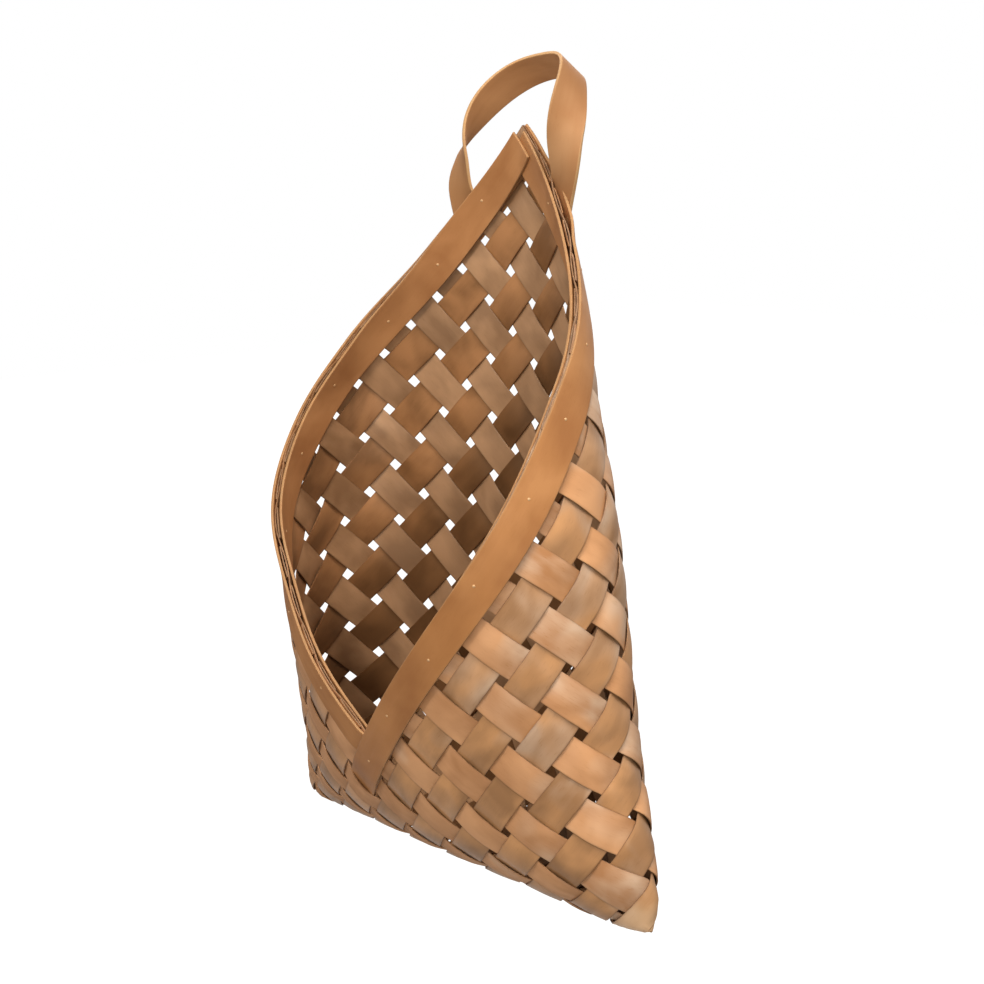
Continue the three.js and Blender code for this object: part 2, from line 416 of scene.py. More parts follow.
@dataclass
class Sheet:
    """Ruled sheet of one strip, with what the strip tree reads at each point."""

    places: np.ndarray
    outward: np.ndarray
    lift: np.ndarray
    girth: np.ndarray
    edge: np.ndarray
    along: np.ndarray
    across: np.ndarray
    pale: np.ndarray | None = None

    def mesh(self, name: str) -> bpy.types.Mesh:
        """Make the sheet as a mesh with its attributes and strip coordinates.

        Args:
            name: Name of the mesh.

        Returns:
            The mesh, faces outward.
        """
        rows, columns = self.lift.shape
        index = np.arange(rows * columns).reshape(rows, columns)
        quads = np.stack([index[:-1, :-1], index[1:, :-1], index[1:, 1:], index[:-1, 1:]], axis=-1)
        i, j = rows // 2, columns // 2
        one = self.places[i + 1, j] - self.places[i, j]
        two = self.places[i, j + 1] - self.places[i, j]
        if np.dot(np.cross(one, two), self.outward[i, j]) < 0:
            quads = quads[..., ::-1]
        quads = quads.reshape(-1, 4)
        mesh = bpy.data.meshes.new(name)
        mesh.from_pydata(self.places.reshape(-1, 3), [], quads)
        pale = 0.0 * self.lift if self.pale is None else self.pale
        layers = {"lift": self.lift, "girth": self.girth, "edge": self.edge, "pale": pale}
        for label, values in layers.items():
            layer = mesh.attributes.new(label, "FLOAT", "POINT")
            layer.data.foreach_set("value", np.ascontiguousarray(values, np.float32).ravel())
        layer = mesh.attributes.new("outward", "FLOAT_VECTOR", "POINT")
        layer.data.foreach_set("vector", np.ascontiguousarray(self.outward, np.float32).ravel())
        grain = np.stack([self.along.ravel(), self.across.ravel()], axis=-1)[quads.ravel()]
        layer = mesh.uv_layers.new(name="UVMap")
        layer.data.foreach_set("uv", np.ascontiguousarray(grain, np.float32).ravel())
        return mesh


@dataclass(frozen=True)
class EdgeProfile:
    """Eased cut edge of a strip, from the middle of the cut to the flat face."""

    insets: tuple[float, ...] = (0.0, 0.0, 0.1, 0.32, 1.1)
    girths: tuple[float, ...] = (0.0, 0.6, 0.9, 1.0, 1.0)
    edges: tuple[float, ...] = (1.0, 1.0, 0.85, 0.3, 0.0)
    clear: float = 1.65

    def spread(self, low: float, high: float, inner: np.ndarray) -> tuple[np.ndarray, ...]:
        """Stations from one cut to the other.

        Args:
            low: Place of the first cut.
            high: Place of the last cut.
            inner: Stations on the flat between the eased edges.

        Returns:
            Stations, their share of the thickness and their edge mask.
        """
        inset = np.array(self.insets)
        keep = inner[(inner > low + self.clear) & (inner < high - self.clear)]
        flat = np.ones(len(keep))
        stations = np.concatenate([low + inset, keep, high - inset[::-1]])
        girth = np.concatenate([self.girths, flat, self.girths[::-1]])
        edge = np.concatenate([self.edges, 0.0 * flat, self.edges[::-1]])
        return stations, girth, edge

    def grid(self, start: float, end: float, inner: np.ndarray, width: float,
             lines: tuple[float, ...]) -> tuple[np.ndarray, ...]:
        """Stations along and across a strip.

        Args:
            start: Place of its first end in millimetres.
            end: Place of its last end.
            inner: Stations between the ends.
            width: Width of the strip.
            lines: Stations across it between the long edges.

        Returns:
            Places along, places across, shares of the thickness and edge mask.
        """
        rows, row_girth, row_edge = self.spread(start, end, inner)
        columns, column_girth, column_edge = self.spread(-width / 2, width / 2, np.array(lines))
        girth = np.minimum.outer(row_girth, column_girth)
        return rows, columns, girth, np.maximum.outer(row_edge, column_edge)


def feed(target: bpy.types.NodeSocket, value: object) -> None:
    """Give an input a plain value, or join another node's output to it.

    Args:
        target: The input.
        value: The plain value or the output.
    """
    if isinstance(value, bpy.types.NodeSocket):
        target.id_data.links.new(value, target)
    else:
        target.default_value = value


def add_node(tree: bpy.types.NodeTree, kind: str, *values: object,
             **settings: object) -> bpy.types.Node:
    """Add a node, set its options and feed its first inputs.

    Args:
        tree: Tree that takes the node.
        kind: Blender's name of the node type.
        values: Plain values or outputs of other nodes, in the order of the inputs.
        settings: Options to set on it.

    Returns:
        The node.
    """
    node = tree.nodes.new(kind)
    for name, value in settings.items():
        setattr(node, name, value)
    for slot, value in enumerate(values):
        feed(node.inputs[slot], value)
    return node


def set_inputs(node: bpy.types.Node, **values: object) -> bpy.types.Node:
    """Feed a node's inputs by name, with _ for a space.

    Args:
        node: Node to feed.
        values: Plain values or outputs of other nodes, by input name.

    Returns:
        The node.
    """
    for name, value in values.items():
        feed(node.inputs[name.replace("_", " ")], value)
    return node


def combine(tree: bpy.types.NodeTree, how: str, *values: object,
            **settings: object) -> bpy.types.NodeSocket:
    """Do arithmetic, by Blender's name of the operation, on plain values or outputs."""
    return add_node(tree, "ShaderNodeMath", *values, operation=how, **settings).outputs[0]


def dot(tree: bpy.types.NodeTree, vector: bpy.types.NodeSocket, way: object) -> bpy.types.NodeSocket:
    """Tell how far a vector reaches along a direction."""
    node = add_node(tree, "ShaderNodeVectorMath", vector, way, operation="DOT_PRODUCT")
    return node.outputs["Value"]


def ramp(tree: bpy.types.NodeTree, value: bpy.types.NodeSocket, span: tuple[float, float],
         result: tuple[float, float] = (0.0, 1.0), how: str = "LINEAR") -> bpy.types.NodeSocket:
    """Take a value from one span to another, and hold it at the ends.

    Args:
        tree: Tree that takes the node.
        value: Output with the value.
        span: Values at the two ends.
        result: What these become.
        how: Blender's name of the interpolation.

    Returns:
        Output with the result.
    """
    node = add_node(tree, "ShaderNodeMapRange", value, interpolation_type=how)
    set_inputs(node, From_Min=span[0], From_Max=span[1], To_Min=result[0], To_Max=result[1])
    return node.outputs[0]


class PieceTree:
    """Geometry node tree that turns a bare mesh into a finished piece."""

    def __init__(self, name: str, *measures: str) -> None:
        """Start the tree with its inputs and its output.

        Args:
            name: Name of the tree.
            measures: Names of the inputs that take plain values.
        """
        self.tree = bpy.data.node_groups.new(name, "GeometryNodeTree")
        self.sockets: dict[str, str] = {}
        kinds = {"Mesh": "NodeSocketGeometry", **dict.fromkeys(measures, "NodeSocketFloat"),
                 "Finish": "NodeSocketMaterial"}
        for label, kind in kinds.items():
            made = self.tree.interface.new_socket(label, in_out="INPUT", socket_type=kind)
            self.sockets[label] = made.identifier
        self.tree.interface.new_socket("Piece", in_out="OUTPUT", socket_type="NodeSocketGeometry")
        self.given = add_node(self.tree, "NodeGroupInput").outputs

    def _read(self, name: str, kind: str) -> bpy.types.NodeSocket:
        """Read a named attribute of the mesh, by Blender's name of its data type."""
        node = add_node(self.tree, "GeometryNodeInputNamedAttribute", data_type=kind)
        return set_inputs(node, Name=name).outputs[0]

    def _finish(self, *row: bpy.types.Node) -> None:
        """Pass the shape down a row of nodes, then smooth it, make it real and give it its material.

        Args:
            row: Nodes that the shape passes through first.
        """
        smooth = add_node(self.tree, "GeometryNodeSetShadeSmooth")
        real = add_node(self.tree, "GeometryNodeRealizeInstances")
        finish = add_node(self.tree, "GeometryNodeSetMaterial")
        set_inputs(finish, Material=self.given["Finish"])
        row = (*row, smooth, real, finish, add_node(self.tree, "NodeGroupOutput"))
        for one, two in zip(row, row[1:]):
            feed(two.inputs[0], one.outputs[0])

    def run(self, name: str, mesh: bpy.types.Mesh, finish: bpy.types.Material,
            **measures: float) -> bpy.types.Object:
        """Turn a bare mesh into a plain piece, and drop the mesh.

        Args:
            name: Name of the piece.
            mesh: The bare mesh.
            finish: Material of the piece.
            measures: Plain values by the names of their inputs.

        Returns:
            The piece, a plain mesh at the origin.
        """
        raw = bpy.data.objects.new(mesh.name, mesh)
        bpy.context.scene.collection.objects.link(raw)
        modifier = raw.modifiers.new("make", "NODES")
        modifier.node_group = self.tree
        for label, value in {**measures, "Finish": finish}.items():
            modifier[self.sockets[label]] = value
        graph = bpy.context.evaluated_depsgraph_get()
        made = bpy.data.meshes.new_from_object(raw.evaluated_get(graph), preserve_all_data_layers=True,
                                               depsgraph=graph)
        made.name = name
        for label in ("outward", "lift", "girth"):
            if label in made.attributes:
                made.attributes.remove(made.attributes[label])
        piece = bpy.data.objects.new(name, made)
        bpy.context.scene.collection.objects.link(piece)
        bpy.data.objects.remove(raw)
        bpy.data.meshes.remove(mesh)
        return piece


class StripTree(PieceTree):
    """Tree that waves a ruled sheet off the wall and gives it thickness."""

    def __init__(self) -> None:
        """Make the nodes once for all strips: two offset faces, joined at the cut edges."""
        super().__init__("strip_solid", "Rise", "Thickness")
        tree = self.tree
        outward = self._read("outward", "FLOAT_VECTOR")
        middle = combine(tree, "MULTIPLY", self._read("lift", "FLOAT"), self.given["Rise"])
        half = combine(tree, "MULTIPLY", self.given["Thickness"], 0.5)
        half = combine(tree, "MULTIPLY", self._read("girth", "FLOAT"), half)
        join = add_node(tree, "GeometryNodeJoinGeometry")
        for face in Face:
            outer = face is Face.OUTER
            offset = add_node(tree, "ShaderNodeVectorMath", outward, operation="SCALE")
            set_inputs(offset, Scale=combine(tree, "ADD" if outer else "SUBTRACT", middle, half))
            move = add_node(tree, "GeometryNodeSetPosition", self.given["Mesh"])
            set_inputs(move, Offset=offset.outputs[0])
            last = add_node(tree, "GeometryNodeStoreNamedAttribute", move.outputs[0],
                            data_type="FLOAT", domain="FACE")
            set_inputs(last, Name="outside", Value=float(outer))
            if not outer:
                last = add_node(tree, "GeometryNodeFlipFaces", last.outputs[0])
            feed(join.inputs[0], last.outputs[0])
        merge = add_node(tree, "GeometryNodeMergeByDistance")
        set_inputs(merge, Distance=MERGE_GAP)
        self._finish(join, merge)

    def make(self, name: str, sheet: Sheet, rise: float, thick: float,
             finish: bpy.types.Material) -> bpy.types.Object:
        """Turn a sheet into a plain solid piece.

        Args:
            name: Name of the piece.
            sheet: Its ruled sheet.
            rise: Height of a lift of 1, in millimetres.
            thick: Thickness in millimetres.
            finish: Material of the piece.

        Returns:
            The piece, a plain mesh at the origin.
        """
        mesh = sheet.mesh(name + "_sheet")
        return self.run(name, mesh, finish, Rise=rise * MM, Thickness=thick * MM)


class GrainGroups:
    """Shader node groups shared by the wood finishes."""

    def __init__(self) -> None:
        """Build both groups once."""
        self.figure = self._figure()
        self.cut = self._cut()

    @staticmethod
    def _group(name: str, inputs: dict[str, float], outputs: tuple[str, ...]) -> bpy.types.NodeTree:
        """Start a group.

        Args:
            name: Name of the group.
            inputs: Values of its inputs where a finish sets none, by name.
            outputs: Names of its outputs.

        Returns:
            The group.
        """
        tree = bpy.data.node_groups.new(name, "ShaderNodeTree")
        for label, value in inputs.items():
            made = tree.interface.new_socket(label, in_out="INPUT", socket_type="NodeSocketFloat")
            made.default_value = value
        for label in outputs:
            tree.interface.new_socket(label, in_out="OUTPUT", socket_type="NodeSocketFloat")
        return tree

    def _figure(self) -> bpy.types.NodeTree:
        """Build the wood figure along a strip: broad tone, fine fibre and short dark flecks.

        Returns:
            The group.
        """
        tree = self._group("wood_figure", {"Tone Scale": 30.0, "Fibre Scale": 30.0, "Fleck Share": 0.3},
                           ("Tone", "Fibre", "Fleck", "Strip", "Cast"))
        given = add_node(tree, "NodeGroupInput").outputs
        strip = add_node(tree, "ShaderNodeUVMap", uv_map="UVMap").outputs[0]

        def noise(stretch: tuple[float, float], scale: bpy.types.NodeSocket | float,
                  detail: float, twist: float = 0.0) -> bpy.types.NodeSocket:
            """Read noise along the strip.

            Args:
                stretch: Factors along and across the strip.
                scale: Plain scale, or an output with it.
                detail: Octaves of the noise.
                twist: How far it is distorted.

            Returns:
                Output with the noise.
            """
            place = add_node(tree, "ShaderNodeMapping", strip)
            set_inputs(place, Scale=(*stretch, 1.0))
            node = add_node(tree, "ShaderNodeTexNoise", place.outputs[0], noise_dimensions="2D")
            set_inputs(node, Scale=scale, Detail=detail, Roughness=0.55, Distortion=twist)
            return node.outputs[0]

        fleck = ramp(tree, noise(stretch=(1.0, 9.0), scale=190.0, detail=1.0), span=(0.66, 0.76))
        set_inputs(
            add_node(tree, "NodeGroupOutput"),
            Tone=noise(stretch=(1.0, 1.4), scale=given["Tone Scale"], detail=2.5, twist=0.25),
            Fibre=noise(stretch=(1.0, 11.0), scale=given["Fibre Scale"], detail=4.0, twist=0.5),
            Fleck=combine(tree, "MULTIPLY", fleck, given["Fleck Share"]),
            Strip=noise(stretch=(2.0, 25.0), scale=1.0, detail=1.0),
            # Noise that breaks up the edge of the painted sheen.
            Cast=noise(stretch=(1.0, 1.2), scale=21.0, detail=1.0, twist=0.3),
        )
        return tree

    def _cut(self) -> bpy.types.NodeTree:
        """Build the mask of a strip's cut edges, broken up along the strip.

        Returns:
            The group.
        """
        tree = self._group("cut_edge", {"Strength": 0.8}, ("Mask",))
        given = add_node(tree, "NodeGroupInput").outputs
        edge = add_node(tree, "ShaderNodeAttribute", attribute_name="edge").outputs["Fac"]
        place = add_node(tree, "ShaderNodeTexCoord").outputs["Object"]
        noise = add_node(tree, "ShaderNodeTexNoise", place)
        set_inputs(noise, Scale=160.0, Detail=2.0)
        # Noise makes the edge colour patchy along the strip.
        patchy = ramp(tree, noise.outputs[0], span=(0.3, 0.7), result=(0.55, 1.0))
        mask = combine(tree, "MULTIPLY", edge, patchy)
        mask = combine(tree, "MULTIPLY", mask, given["Strength"], use_clamp=True)
        set_inputs(add_node(tree, "NodeGroupOutput"), Mask=mask)
        return tree


# Looks that all the wood shares: painted sheen, a grey tint on the outer face towards the upper right;
# painted shade, darker on the inner face low down; and satin fibres.
# Painted sheen: the outer face turns greyer towards the upper right, with its edge broken up by noise.
PAINTED_SHEEN_WAY = (2.0, 0.0, 1.0)
PAINTED_SHEEN_SPAN = (0.36, 0.56)
# Painted shade: the inner face darkens low down and towards the right and back, where shade falls inside
# the bag.
PAINTED_SHADE_WAY = (1.0, 0.8, -1.0)
PAINTED_SHADE_SPAN = (0.105, 0.195)
PAINTED_SHADE_DEPTH = 0.25
PALE_TIP = srgb(232, 188, 143)
SHEEN_TINT = (1.0, 0.8, 0.6, 1.0)
FIBRE_TURN = 0.25
DEEP_PARTS = (("Tone", 2.6), ("Fibre", 0.25), ("Fleck", 0.7))
DEEP_STRIP = 1.6
DEEP_BASE = -0.93
ROUGH_PARTS = (("Fibre", 0.18), ("Tone", 0.14))
ROUGH_MIDDLE = 0.16
BUMP_PARTS = (("Fibre", 1.0), ("Tone", 0.5), ("Fleck", -0.4))
BUMP_HEIGHT = 0.0004

# Places of the colour inputs and of the colour result among a mix node's sockets.
MIX_COLOURS = (6, 7)
MIX_RESULT = 2


@dataclass(frozen=True)
class WoodFinish:
    """One kind of wood strip, with its two faces and its cut edge."""

    name: str
    outer_pale: Colour
    outer_deep: Colour
    inner_pale: Colour
    inner_deep: Colour
    # Grey of the painted sheen on the outer face towards the upper right.
    cast: Colour
    cut: Colour
    cut_strength: float
    roughness: float
    gloss: float
    tone_scale: float = 26.0
    fibre_scale: float = 26.0
    fleck: float = 0.25
    strip_spread: float = 0.5
    bump: float = 0.08
    satin: float = 0.6
    # Strength of the painted shade low on the inner face.
    painted_shade: float = 0.0

    def material(self, groups: GrainGroups) -> bpy.types.Material:
        """Build the material.

        Args:
            groups: Shared shader node groups.

        Returns:
            The material.
        """
        made = bpy.data.materials.new(self.name)
        made.use_nodes = True
        tree = made.node_tree
        figure = add_node(tree, "ShaderNodeGroup", node_tree=groups.figure)
        set_inputs(figure, Tone_Scale=self.tone_scale, Fibre_Scale=self.fibre_scale)
        set_inputs(figure, Fleck_Share=self.fleck)
        cut = add_node(tree, "ShaderNodeGroup", node_tree=groups.cut)
        set_inputs(cut, Strength=self.cut_strength)
        outside = add_node(tree, "ShaderNodeAttribute", attribute_name="outside").outputs["Fac"]
        pale = add_node(tree, "ShaderNodeAttribute", attribute_name="pale").outputs["Fac"]
        place = add_node(tree, "ShaderNodeTexCoord").outputs["Object"]

        def weigh(parts: tuple[tuple[str, float], ...], base: float) -> bpy.types.NodeSocket | float:
            """Add up the figure's outputs by weight.

            Args:
                parts: Names of outputs, each with its weight.
                base: Value that the sum starts from.

            Returns:
                Output with the sum.
            """
            total: bpy.types.NodeSocket | float = base
            for label, weight in parts:
                total = combine(tree, "MULTIPLY_ADD", figure.outputs[label], weight, total)
            return total

        def mix(factor: bpy.types.NodeSocket, *colours: object) -> bpy.types.NodeSocket:
            """Blend two colours.

            Args:
                factor: Output with the share of the second colour.
                colours: Both colours, plain or as outputs.

            Returns:
                Output with the blend.
            """
            node = add_node(tree, "ShaderNodeMix", factor, data_type="RGBA")
            for slot, colour in zip(MIX_COLOURS, colours):
                feed(node.inputs[slot], (*colour, 1.0) if isinstance(colour, tuple) else colour)
            return node.outputs[MIX_RESULT]

        strip = DEEP_STRIP * self.strip_spread
        deep = weigh((*DEEP_PARTS, ("Strip", strip)), DEEP_BASE - strip / 2)
        share = add_node(tree, "ShaderNodeClamp", deep).outputs[0]
        # Painted sheen: the outer face turns greyer towards the upper right.
        upper = combine(tree, "ADD", figure.outputs["Cast"], dot(tree, place, PAINTED_SHEEN_WAY))
        cast = ramp(tree, upper, PAINTED_SHEEN_SPAN)
        # Painted shade: the inner face darkens low down and towards the right and back.
        painted_shade = ramp(tree, dot(tree, place, PAINTED_SHADE_WAY), PAINTED_SHADE_SPAN, (0.0, self.painted_shade), "SMOOTHSTEP")
        inner = mix(share, self.inner_pale, self.inner_deep)
        inner = mix(painted_shade, inner, tuple(PAINTED_SHADE_DEPTH * value for value in self.inner_deep))
        outer = mix(share, mix(cast, self.outer_pale, self.cast), self.outer_deep)
        colour = mix(outside, inner, outer)
        colour = mix(pale, colour, mix(share, PALE_TIP, self.outer_pale))
        # Cut edge colour: pale on the bands, which is the wood's own colour; dark on the splints, partly
        # the cut wood's own colour and partly painted shade, the shadow line along a strip edge that
        # stands over its neighbour.
        colour = mix(cut.outputs[0], colour, self.cut)
        bump = add_node(tree, "ShaderNodeBump")
        set_inputs(bump, Strength=self.bump, Distance=BUMP_HEIGHT, Height=weigh(BUMP_PARTS, 0.0))
        fibre_way = add_node(tree, "ShaderNodeTangent", direction_type="UV_MAP", uv_map="UVMap")
        shader = tree.nodes["Principled BSDF"]
        set_inputs(shader, Base_Color=colour, Normal=bump.outputs[0], Tangent=fibre_way.outputs[0])
        set_inputs(shader, Roughness=weigh(ROUGH_PARTS, self.roughness - ROUGH_MIDDLE))
        set_inputs(shader, Specular_IOR_Level=self.gloss, Specular_Tint=SHEEN_TINT)
        set_inputs(shader, Anisotropic=self.satin, Anisotropic_Rotation=FIBRE_TURN)
        return made


# In the finishes below, the greyish colour for the outer face's upper right is painted sheen.
# In the finishes below, the value for the inner face's low darkening is painted shade.
TAN_SPLINT = WoodFinish(
    name="tan_splint", outer_pale=srgb(209, 153, 106), outer_deep=srgb(174, 121, 78),
    inner_pale=srgb(170, 118, 74), inner_deep=srgb(123, 83, 49), cast=srgb(212, 178, 147),
    cut=srgb(98, 62, 34), cut_strength=0.85, roughness=0.46, gloss=0.45, satin=0.8,
    painted_shade=0.7)
BROWN_SPLINT = WoodFinish(
    name="brown_splint", outer_pale=srgb(197, 143, 94), outer_deep=srgb(149, 107, 70),
    inner_pale=srgb(180, 136, 97), inner_deep=srgb(137, 100, 68), cast=srgb(190, 157, 128),
    cut=srgb(88, 56, 32), cut_strength=0.85, roughness=0.39, gloss=0.5, satin=0.8,
    painted_shade=0.2)
RIM_WOOD = WoodFinish(
    name="rim_band", outer_pale=srgb(178, 121, 71), outer_deep=srgb(155, 101, 57),
    inner_pale=srgb(184, 128, 80), inner_deep=srgb(158, 104, 61), cast=srgb(182, 126, 77),
    cut=srgb(160, 124, 84), cut_strength=0.75, roughness=0.5, gloss=0.3, strip_spread=0.15,
    tone_scale=22.0)
STRAP_WOOD = WoodFinish(
    name="strap_handle", outer_pale=srgb(168, 119, 76), outer_deep=srgb(152, 104, 64),
    inner_pale=srgb(203, 145, 94), inner_deep=srgb(178, 122, 76), cast=srgb(170, 124, 83),
    cut=srgb(192, 156, 110), cut_strength=0.7, roughness=0.58, gloss=0.25, strip_spread=0.1,
    tone_scale=20.0)


@dataclass
class Weave:
    """Eighteen splints plaited over one and under one."""

    form: BagForm
    strips: StripTree
    width: float = 19.7
    thick: float = 0.9
    rise: float = 1.3
    roundness: float = 0.85
    cup: float = 0.28
    crease_gain: float = 0.8
    tip_cover: float = 0.3
    tip_reach: float = 0.75
    tip_keep: tuple[float, float] = (0.4, 0.9)
    pale_reach: float = 1.1
    crease_reach: float = 0.7
    fold_close: float = 0.13
    fold_reach: float = 1.6
    tight_eyes: tuple[tuple[float, float], ...] = ((8.0, 12.0), (10.0, 11.0), (7.0, 9.0))
    tight_close: float = 0.22
    tight_reach: float = 0.9
    flat_lines: tuple[float, ...] = (-6.5, -3.25, 0.0, 3.25, 6.5)
    grain_gap: float = 0.061
    grain_skip: int = 20
    stations: int = 10
    first: float = 7.5
    count: int = 9
    long_cells: int = 34
    short_cells: int = 16
    sway: float = 0.35
    sway_waves: int = 3
    sway_span: tuple[float, float] = (0.25, 1.1)
    seed: int = 11
    tuck_line: float = 12.5
    tuck_cell: float = 14.5
    tuck_lift: float = 1.1
    tuck_reach: float = 0.42
    profile: EdgeProfile = field(default_factory=EdgeProfile)

    @property
    def tip_layers(self) -> dict[tuple[bool, int], tuple[float, float]]:
        """Crossing of the right bottom corner's two splints, and the layer that each keeps there."""
        corner_k, corner_r = self.form.corners[0]
        return {(True, 0): (corner_r - 0.5, 1.0), (False, self.count - 1): (corner_k + 0.5, -1.0)}

    def _line(self, fixed_k: bool, number: int, along: np.ndarray, columns: np.ndarray) -> np.ndarray:
        """Lattice lines of a splint's points, which sway and close up at the fold and the tight eyes.

        Args:
            fixed_k: True for a splint parallel to the right rim.
            number: Which splint of its direction, from 0.
            along: Lattice places along the splint.
            columns: Places across it in millimetres.

        Returns:
            Lattice places across the splint's direction.
        """
        form = self.form
        centre = self.first + number
        random = np.random.default_rng(self.seed + 2 * number + int(fixed_k))
        waves = random.uniform(*self.sway_span, self.sway_waves)
        phases = random.uniform(0.0, 2 * math.pi, self.sway_waves)
        drift = sum(np.sin(w * along * 2.0 + p) for w, p in zip(waves, phases)) / self.sway_waves
        past_fold = (centre + along - form.fold_sum) / self.fold_reach
        closed = 1.0 + self.fold_close * np.exp(-(past_fold ** 2))
        for eye in self.tight_eyes:
            across_eye, along_eye = eye if fixed_k else eye[::-1]
            gap = np.hypot(centre - across_eye, along - along_eye)
            closed = closed + self.tight_close * np.exp(-((gap / self.tight_reach) ** 4))
        across = (columns * closed + drift * self.sway) / form.pitch
        if fixed_k and number == 0:
            low_side = np.clip(-columns / (self.width / 2), 0.0, 1.0)
            near_tip = np.exp(-(((along - form.corners[0][1]) / self.tip_reach) ** 4))
            across = across - self.tip_cover * low_side * near_tip
        return centre + across

    def _lift(self, fixed_k: bool, number: int, along: np.ndarray, columns: np.ndarray,
              at_crease: np.ndarray) -> np.ndarray:
        """How far a splint's points ride over or under the splints that it crosses.

        Args:
            fixed_k: True for a splint parallel to the right rim.
            number: Which splint of its direction, from 0.
            along: Lattice places along the splint.
            columns: Places across it in millimetres.
            at_crease: How near the points are to a side crease, 0 to 1.

        Returns:
            Lifts, 1 at the top of a plain wave.
        """
        centre = self.first + number
        sign = 1.0 if (math.floor(centre) % 2 == 1) == fixed_k else -1.0
        wave = np.tanh(self.roundness * sign * np.sin(math.pi * along)) / math.tanh(self.roundness)
        if (fixed_k, number) in self.tip_layers:
            middle, layer = self.tip_layers[fixed_k, number]
            near, far = self.tip_keep
            rising = ease(along, middle - far, middle - near)
            kept = rising * (1.0 - ease(along, middle + near, middle + far))
            wave = wave + (layer - wave) * kept
        lift = wave * (1.0 + self.crease_gain * (wave > 0) * at_crease)
        lift = lift - self.cup * wave * (columns / (self.width / 2)) ** 2
        if not fixed_k and centre == self.tuck_line:
            lift = lift + self.tuck_lift * np.exp(-(((along - self.tuck_cell) / self.tuck_reach) ** 4))
        return lift

    def _sheet(self, fixed_k: bool, number: int, seat: np.ndarray) -> Sheet:
        """Ruled sheet of one splint.

        Args:
            fixed_k: True for a splint parallel to the right rim.
            number: Which splint of its direction, from 0.
            seat: Hang seat in bag coordinates.

        Returns:
            The sheet.
        """
        form = self.form
        cells = self.long_cells if number < self.count - 1 else self.short_cells
        share = self.width / form.pitch
        start = -1.0 + (1.0 - share) / 2
        end = start + cells - 1 + share
        inner = np.arange(start, end, 1.0 / self.stations) * form.pitch
        rows, columns, girth, edge = self.profile.grid(
            start * form.pitch, end * form.pitch, inner, self.width, self.flat_lines)
        along = rows[:, None] / form.pitch + 0.0 * columns
        line = self._line(fixed_k, number, along, columns)
        k, r = (line, along) if fixed_k else (along, line)
        at_crease = np.exp(-((form.crease_gap(k, r) / self.crease_reach) ** 2))
        on_tip = float(fixed_k and number == 0)
        grain = self.grain_gap * (number + self.grain_skip * int(fixed_k))
        return Sheet(
            places=(form.wall(k, r) - seat) * MM,
            outward=form.outward(k, r),
            lift=self._lift(fixed_k, number, along, columns, at_crease),
            girth=girth,
            edge=edge,
            along=(rows[:, None] + 0.0 * columns) * MM,
            across=(columns + 0.0 * rows[:, None]) * MM + grain,
            pale=np.exp(-((form.corner_gap(k, r) / self.pale_reach) ** 4)) * on_tip,
        )

    def build(self, seat: np.ndarray, brown: bpy.types.Material,
              tan: bpy.types.Material) -> list[bpy.types.Object]:
        """Build every splint in place of its plain solid.

        Args:
            seat: Hang seat in bag coordinates.
            brown: Finish of the splints parallel to the right rim.
            tan: Finish of the splints parallel to the left rim.

        Returns:
            The splints.
        """
        made = []
        for fixed_k, side, slot, finish in ((True, "right", "splint_brown", brown),
                                            (False, "left", "splint_tan", tan)):
            for number in range(self.count):
                node = f"splint_{side}_{number + 1:02d}"
                sheet = self._sheet(fixed_k, number, seat)
                piece = self.strips.make(node + "_wood", sheet, self.rise, self.thick, finish)
                dress(piece, slot, node)
                made.append(piece)
        return made


def dress(piece: bpy.types.Object, slot: str, *nodes: str) -> None:
    """Let a piece ride on the basket, and stand for its plain solids.

    Args:
        piece: The finished piece.
        slot: Name of a material slot; not used.
        nodes: Solids that it stands for.
    """
    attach(piece, BODY)
    if nodes:
        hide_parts(*nodes)
    LOG.info("%s: %d faces", piece.name, len(piece.data.polygons))


